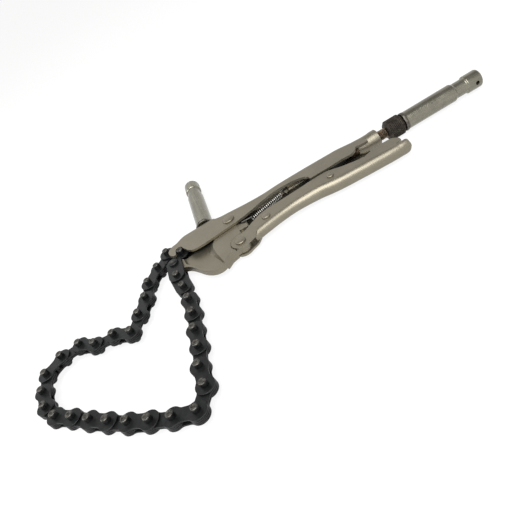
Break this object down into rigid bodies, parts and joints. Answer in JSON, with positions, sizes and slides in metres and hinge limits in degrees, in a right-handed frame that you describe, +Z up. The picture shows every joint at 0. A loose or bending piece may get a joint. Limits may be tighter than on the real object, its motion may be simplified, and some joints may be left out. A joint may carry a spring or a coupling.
{
  "type": "chain clamp",
  "caption": "Locking pliers whose jaws tighten and hold a loop of extended-pin plate chain, with a round stud on the jaw and one on the adjusting knob.",
  "frame": {"origin": "centre of the underside of the jaw pivot rivet, on the surface that the tool lies on", "axes": "+X from the jaw pivot along the handle to the adjusting screw, +Y from the handle to the stud on the jaw's back, +Z up from the surface, along every hinge"},
  "size_m": [0.4493, 0.2792, 0.0185],
  "materials": {
    "nickel_steel": "satin nickel plate",
    "zinc_steel": "dull zinc plate",
    "weld_steel": "weld bead, plated over",
    "black_oxide_steel": "oiled black oxide",
    "dark_steel": "dark brown oxide",
    "bright_wire": "bright spring wire"
  },
  "bodies": {
    "fixed_handle": {"fixed_handle": "nickel_steel", "jaw_stud": "zinc_steel", "jaw_stud_weld": "weld_steel", "jaw_pivot_rivet": "nickel_steel", "return_spring": "bright_wire"},
    "lower_jaw": {"lower_jaw": "nickel_steel", "chain_anchor_rivet": "black_oxide_steel"},
    "lever": {"lever_handle": "nickel_steel", "lever_pivot_rivet": "nickel_steel", "toggle_rivet": "nickel_steel", "release_rivet": "nickel_steel"},
    "toggle": {"toggle_link": "black_oxide_steel"},
    "release": {"release_lever": "nickel_steel"},
    "screw": {"adjusting_screw": "dark_steel"},
    "knob": {"screw_knob": "dark_steel", "end_stud_weld": "weld_steel", "end_stud": "zinc_steel"},
    "chain_link_01": {"chain_link_01": "black_oxide_steel"},
    "chain_link_02": {"chain_link_02": "black_oxide_steel"},
    "chain_link_03": {"chain_link_03": "black_oxide_steel"},
    "chain_link_04": {"chain_link_04": "black_oxide_steel"},
    "chain_link_05": {"chain_link_05": "black_oxide_steel"},
    "chain_link_06": {"chain_link_06": "black_oxide_steel"},
    "chain_link_07": {"chain_link_07": "black_oxide_steel"},
    "chain_link_08": {"chain_link_08": "black_oxide_steel"},
    "chain_link_09": {"chain_link_09": "black_oxide_steel"},
    "chain_link_10": {"chain_link_10": "black_oxide_steel"},
    "chain_link_11": {"chain_link_11": "black_oxide_steel"},
    "chain_link_12": {"chain_link_12": "black_oxide_steel"},
    "chain_link_13": {"chain_link_13": "black_oxide_steel"},
    "chain_link_14": {"chain_link_14": "black_oxide_steel"},
    "chain_link_15": {"chain_link_15": "black_oxide_steel"},
    "chain_link_16": {"chain_link_16": "black_oxide_steel"},
    "chain_link_17": {"chain_link_17": "black_oxide_steel"},
    "chain_link_18": {"chain_link_18": "black_oxide_steel"},
    "chain_link_19": {"chain_link_19": "black_oxide_steel"},
    "chain_link_20": {"chain_link_20": "black_oxide_steel"},
    "chain_link_21": {"chain_link_21": "black_oxide_steel"},
    "chain_link_22": {"chain_link_22": "black_oxide_steel"},
    "chain_link_23": {"chain_link_23": "black_oxide_steel"},
    "chain_link_24": {"chain_link_24": "black_oxide_steel"},
    "chain_link_25": {"chain_link_25": "black_oxide_steel"},
    "chain_link_26": {"chain_link_26": "black_oxide_steel"},
    "chain_link_27": {"chain_link_27": "black_oxide_steel"},
    "chain_link_28": {"chain_link_28": "black_oxide_steel"},
    "chain_link_29": {"chain_link_29": "black_oxide_steel"},
    "chain_link_30": {"chain_link_30": "black_oxide_steel"}
  },
  "joints": [
    {"name": "jaw_pivot", "type": "hinge", "parent": "fixed_handle", "child": "lower_jaw", "pos_m": [0, 0, 0.00925], "axis": [0, 0, 1], "range_deg": [0, 12], "deforming": ["return_spring"]},
    {"name": "lever_pivot", "type": "hinge", "parent": "lower_jaw", "child": "lever", "pos_m": [0.00019, -0.0349, 0.00925], "axis": [0, 0, 1], "range_deg": [-60, 0]},
    {"name": "toggle_pivot", "type": "hinge", "parent": "lever", "child": "toggle", "pos_m": [0.0291, -0.0227, 0.00925], "axis": [0, 0, 1], "range_deg": [-1, 64]},
    {"name": "release_pivot", "type": "hinge", "parent": "lever", "child": "release", "pos_m": [0.09251, -0.0223, 0.00925], "axis": [0, 0, 1], "range_deg": [-4, 0]},
    {"name": "screw_travel", "type": "slide", "parent": "fixed_handle", "child": "screw", "axis": [1, 0, 0], "range_m": [0, 0.018]},
    {"name": "knob_spin", "type": "hinge", "parent": "screw", "child": "knob", "pos_m": [0.15865, 0.0011, 0.00925], "axis": [1, 0, 0], "range_deg": [0, 4085]},
    {"name": "chain_anchor", "type": "hinge", "parent": "lower_jaw", "child": "chain_link_01", "pos_m": [-0.05945, -0.0114, 0.00925], "axis": [0, 0, 1], "range_deg": [-45, 45]},
    {"name": "chain_pin_01", "type": "hinge", "parent": "chain_link_01", "child": "chain_link_02", "pos_m": [-0.0602, -0.02888, 0.00925], "axis": [0, 0, 1], "range_deg": [-119.8, 100.2]},
    {"name": "chain_pin_02", "type": "hinge", "parent": "chain_link_02", "child": "chain_link_03", "pos_m": [-0.05798, -0.04624, 0.00925], "axis": [0, 0, 1], "range_deg": [-106.1, 113.9]},
    {"name": "chain_pin_03", "type": "hinge", "parent": "chain_link_03", "child": "chain_link_04", "pos_m": [-0.05694, -0.06371, 0.00925], "axis": [0, 0, 1], "range_deg": [-105.1, 114.9]},
    {"name": "chain_pin_04", "type": "hinge", "parent": "chain_link_04", "child": "chain_link_05", "pos_m": [-0.0574, -0.0812, 0.00925], "axis": [0, 0, 1], "range_deg": [-104.1, 115.9]},
    {"name": "chain_pin_05", "type": "hinge", "parent": "chain_link_05", "child": "chain_link_06", "pos_m": [-0.05964, -0.09856, 0.00925], "axis": [0, 0, 1], "range_deg": [-113.9, 106.1]},
    {"name": "chain_pin_06", "type": "hinge", "parent": "chain_link_06", "child": "chain_link_07", "pos_m": [-0.06069, -0.11603, 0.00925], "axis": [0, 0, 1], "range_deg": [-102.2, 117.8]},
    {"name": "chain_pin_07", "type": "hinge", "parent": "chain_link_07", "child": "chain_link_08", "pos_m": [-0.0641, -0.13319, 0.00925], "axis": [0, 0, 1], "range_deg": [-121.7, 98.3]},
    {"name": "chain_pin_08", "type": "hinge", "parent": "chain_link_08", "child": "chain_link_09", "pos_m": [-0.06396, -0.15069, 0.00925], "axis": [0, 0, 1], "range_deg": [-76.9, 143.1]},
    {"name": "chain_pin_09", "type": "hinge", "parent": "chain_link_09", "child": "chain_link_10", "pos_m": [-0.07341, -0.16542, 0.00925], "axis": [0, 0, 1], "range_deg": [-34.2, 175]},
    {"name": "chain_pin_10", "type": "hinge", "parent": "chain_link_10", "child": "chain_link_11", "pos_m": [-0.09, -0.15986, 0.00925], "axis": [0, 0, 1], "range_deg": [-102, 118]},
    {"name": "chain_pin_11", "type": "hinge", "parent": "chain_link_11", "child": "chain_link_12", "pos_m": [-0.10566, -0.15204, 0.00925], "axis": [0, 0, 1], "range_deg": [-14.63, 14.63]},
    {"name": "chain_pin_12", "type": "hinge", "parent": "chain_link_12", "child": "chain_link_13", "pos_m": [-0.12103, -0.14368, 0.00925], "axis": [0, 0, 1], "range_deg": [-104, 116]},
    {"name": "chain_pin_13", "type": "hinge", "parent": "chain_link_13", "child": "chain_link_14", "pos_m": [-0.13544, -0.13375, 0.00925], "axis": [0, 0, 1], "range_deg": [-108, 112]},
    {"name": "chain_pin_14", "type": "hinge", "parent": "chain_link_14", "child": "chain_link_15", "pos_m": [-0.14949, -0.12332, 0.00925], "axis": [0, 0, 1], "range_deg": [-108, 112]},
    {"name": "chain_pin_15", "type": "hinge", "parent": "chain_link_15", "child": "chain_link_16", "pos_m": [-0.16317, -0.1124, 0.00925], "axis": [0, 0, 1], "range_deg": [-113, 107]},
    {"name": "chain_pin_16", "type": "hinge", "parent": "chain_link_16", "child": "chain_link_17", "pos_m": [-0.1774, -0.10222, 0.00925], "axis": [0, 0, 1], "range_deg": [-87.7, 132.3]},
    {"name": "chain_pin_17", "type": "hinge", "parent": "chain_link_17", "child": "chain_link_18", "pos_m": [-0.18671, -0.0874, 0.00925], "axis": [0, 0, 1], "range_deg": [-87.6, 132.4]},
    {"name": "chain_pin_18", "type": "hinge", "parent": "chain_link_18", "child": "chain_link_19", "pos_m": [-0.18967, -0.07015, 0.00925], "axis": [0, 0, 1], "range_deg": [-93.6, 126.4]},
    {"name": "chain_pin_19", "type": "hinge", "parent": "chain_link_19", "child": "chain_link_20", "pos_m": [-0.18764, -0.05277, 0.00925], "axis": [0, 0, 1], "range_deg": [-62.9, 157.1]},
    {"name": "chain_pin_20", "type": "hinge", "parent": "chain_link_20", "child": "chain_link_21", "pos_m": [-0.17352, -0.04244, 0.00925], "axis": [0, 0, 1], "range_deg": [-79.5, 140.5]},
    {"name": "chain_pin_21", "type": "hinge", "parent": "chain_link_21", "child": "chain_link_22", "pos_m": [-0.15611, -0.0407, 0.00925], "axis": [0, 0, 1], "range_deg": [-67.9, 152.1]},
    {"name": "chain_pin_22", "type": "hinge", "parent": "chain_link_22", "child": "chain_link_23", "pos_m": [-0.14203, -0.05109, 0.00925], "axis": [0, 0, 1], "range_deg": [-139, 81]},
    {"name": "chain_pin_23", "type": "hinge", "parent": "chain_link_23", "child": "chain_link_24", "pos_m": [-0.12467, -0.05336, 0.00925], "axis": [0, 0, 1], "range_deg": [-88, 132]},
    {"name": "chain_pin_24", "type": "hinge", "parent": "chain_link_24", "child": "chain_link_25", "pos_m": [-0.10944, -0.06196, 0.00925], "axis": [0, 0, 1], "range_deg": [-175, 21.8]},
    {"name": "chain_pin_25", "type": "hinge", "parent": "chain_link_25", "child": "chain_link_26", "pos_m": [-0.10035, -0.04701, 0.00925], "axis": [0, 0, 1], "range_deg": [-112, 108]},
    {"name": "chain_pin_26", "type": "hinge", "parent": "chain_link_26", "child": "chain_link_27", "pos_m": [-0.09181, -0.03173, 0.00925], "axis": [0, 0, 1], "range_deg": [-121.3, 98.7]},
    {"name": "chain_pin_27", "type": "hinge", "parent": "chain_link_27", "child": "chain_link_28", "pos_m": [-0.08642, -0.01508, 0.00925], "axis": [0, 0, 1], "range_deg": [-87.4, 132.6]},
    {"name": "chain_pin_28", "type": "hinge", "parent": "chain_link_28", "child": "chain_link_29", "pos_m": [-0.07506, -0.00178, 0.00925], "axis": [0, 0, 1], "range_deg": [-107.9, 112.1]},
    {"name": "chain_pin_29", "type": "hinge", "parent": "chain_link_29", "child": "chain_link_30", "pos_m": [-0.06323, 0.01112, 0.00925], "axis": [0, 0, 1], "range_deg": [-19.2, 175]}
  ],
  "couplings": [
    {"joint": "lever_pivot", "follows": "jaw_pivot", "ratio": -4},
    {"joint": "toggle_pivot", "follows": "jaw_pivot", "ratio": 4.1583},
    {"joint": "knob_spin", "follows": "screw_travel", "rad_per_m": 3957.9},
    {"joint": "chain_anchor", "follows": "chain_pin_11", "ratio": -0.41011},
    {"joint": "chain_pin_01", "follows": "chain_pin_11", "ratio": 0.6986},
    {"joint": "chain_pin_02", "follows": "chain_pin_11", "ratio": -0.70876},
    {"joint": "chain_pin_03", "follows": "chain_pin_11", "ratio": 0.73304},
    {"joint": "chain_pin_04", "follows": "chain_pin_11", "ratio": -0.73154},
    {"joint": "chain_pin_05", "follows": "chain_pin_11", "ratio": 1.0634},
    {"joint": "chain_pin_06", "follows": "chain_pin_11", "ratio": -1.0628},
    {"joint": "chain_pin_07", "follows": "chain_pin_11", "ratio": 0.72545},
    {"joint": "chain_pin_08", "follows": "chain_pin_11", "ratio": -0.72064},
    {"joint": "chain_pin_09", "follows": "chain_pin_11", "ratio": 0.82462},
    {"joint": "chain_pin_10", "follows": "chain_pin_11", "ratio": -0.99528},
    {"joint": "chain_pin_12", "follows": "chain_pin_11", "ratio": -0.67485},
    {"joint": "chain_pin_13", "follows": "chain_pin_11", "ratio": 0.60923},
    {"joint": "chain_pin_14", "follows": "chain_pin_11", "ratio": -0.60001},
    {"joint": "chain_pin_15", "follows": "chain_pin_11", "ratio": 0.71549},
    {"joint": "chain_pin_16", "follows": "chain_pin_11", "ratio": -0.69974},
    {"joint": "chain_pin_17", "follows": "chain_pin_11", "ratio": 0.65714},
    {"joint": "chain_pin_18", "follows": "chain_pin_11", "ratio": -0.76679},
    {"joint": "chain_pin_19", "follows": "chain_pin_11", "ratio": 0.77293},
    {"joint": "chain_pin_20", "follows": "chain_pin_11", "ratio": -0.85173},
    {"joint": "chain_pin_21", "follows": "chain_pin_11", "ratio": 0.72415},
    {"joint": "chain_pin_22", "follows": "chain_pin_11", "ratio": -0.72513},
    {"joint": "chain_pin_23", "follows": "chain_pin_11", "ratio": 0.7618},
    {"joint": "chain_pin_24", "follows": "chain_pin_11", "ratio": -0.73905},
    {"joint": "chain_pin_25", "follows": "chain_pin_11", "ratio": 0.82638},
    {"joint": "chain_pin_26", "follows": "chain_pin_11", "ratio": -0.80391},
    {"joint": "chain_pin_27", "follows": "chain_pin_11", "ratio": 0.8055},
    {"joint": "chain_pin_28", "follows": "chain_pin_11", "ratio": -0.83773},
    {"joint": "chain_pin_29", "follows": "chain_pin_11", "ratio": 0.68681}
  ]
}
